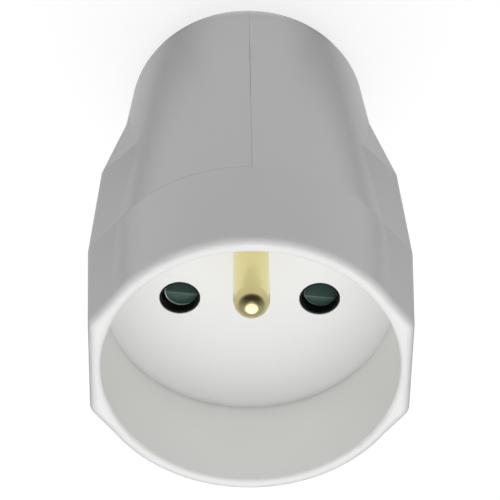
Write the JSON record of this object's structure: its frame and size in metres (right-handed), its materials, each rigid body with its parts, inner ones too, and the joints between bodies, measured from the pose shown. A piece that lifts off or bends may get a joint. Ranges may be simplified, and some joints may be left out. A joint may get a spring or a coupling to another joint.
{
  "type": "inline socket connector",
  "caption": "White in-line mains socket: round recess with shuttered contact holes and a projecting earth pin, in a tapered split housing with flat side grips and a cord inlet.",
  "frame": {"origin": "centre of the flat tail end, on the surface that the connector stands on", "axes": "+Z along the axis from the tail to the mouth; the contact holes lie along X; the earth pin stands on the -Y side; the rear cover is on +X"},
  "size_m": [0.0436, 0.0434, 0.064],
  "materials": {
    "housing_white": "satin moulded, white",
    "shutter_green": "smooth moulded, dark green",
    "cage_black": "moulded, near black",
    "carrier_grey": "moulded thermoset, pale grey",
    "clamp_plastic": "moulded, off-white",
    "brass": "turned",
    "plated_steel": "zinc plated",
    "terminal_steel": "yellow passivated",
    "grommet_rubber": "soft moulded, pale grey"
  },
  "bodies": {
    "housing": {"main_body": "housing_white", "rear_cover": "housing_white", "live_contact": "brass", "neutral_contact": "brass", "earth_pin": "brass", "earth_terminal": "brass", "cover_screws": "plated_steel", "carrier_screws": "plated_steel", "clamp_screws": "plated_steel", "shutter_spring": "plated_steel", "live_contact_clip": "plated_steel", "neutral_contact_clip": "plated_steel", "terminal_screws": "terminal_steel", "shutter_cage": "cage_black", "contact_carrier": "carrier_grey", "cord_clamp": "clamp_plastic", "inlet_grommet": "grommet_rubber"},
    "shutter": {"shutter": "shutter_green"}
  },
  "joints": [
    {"name": "shutter_slide", "type": "slide", "parent": "housing", "child": "shutter", "axis": [0, 1, 0], "range_m": [0, 0.0054], "stiffness_N_per_m": 200, "springref_m": -0.004, "deforming": ["shutter_spring"]}
  ]
}
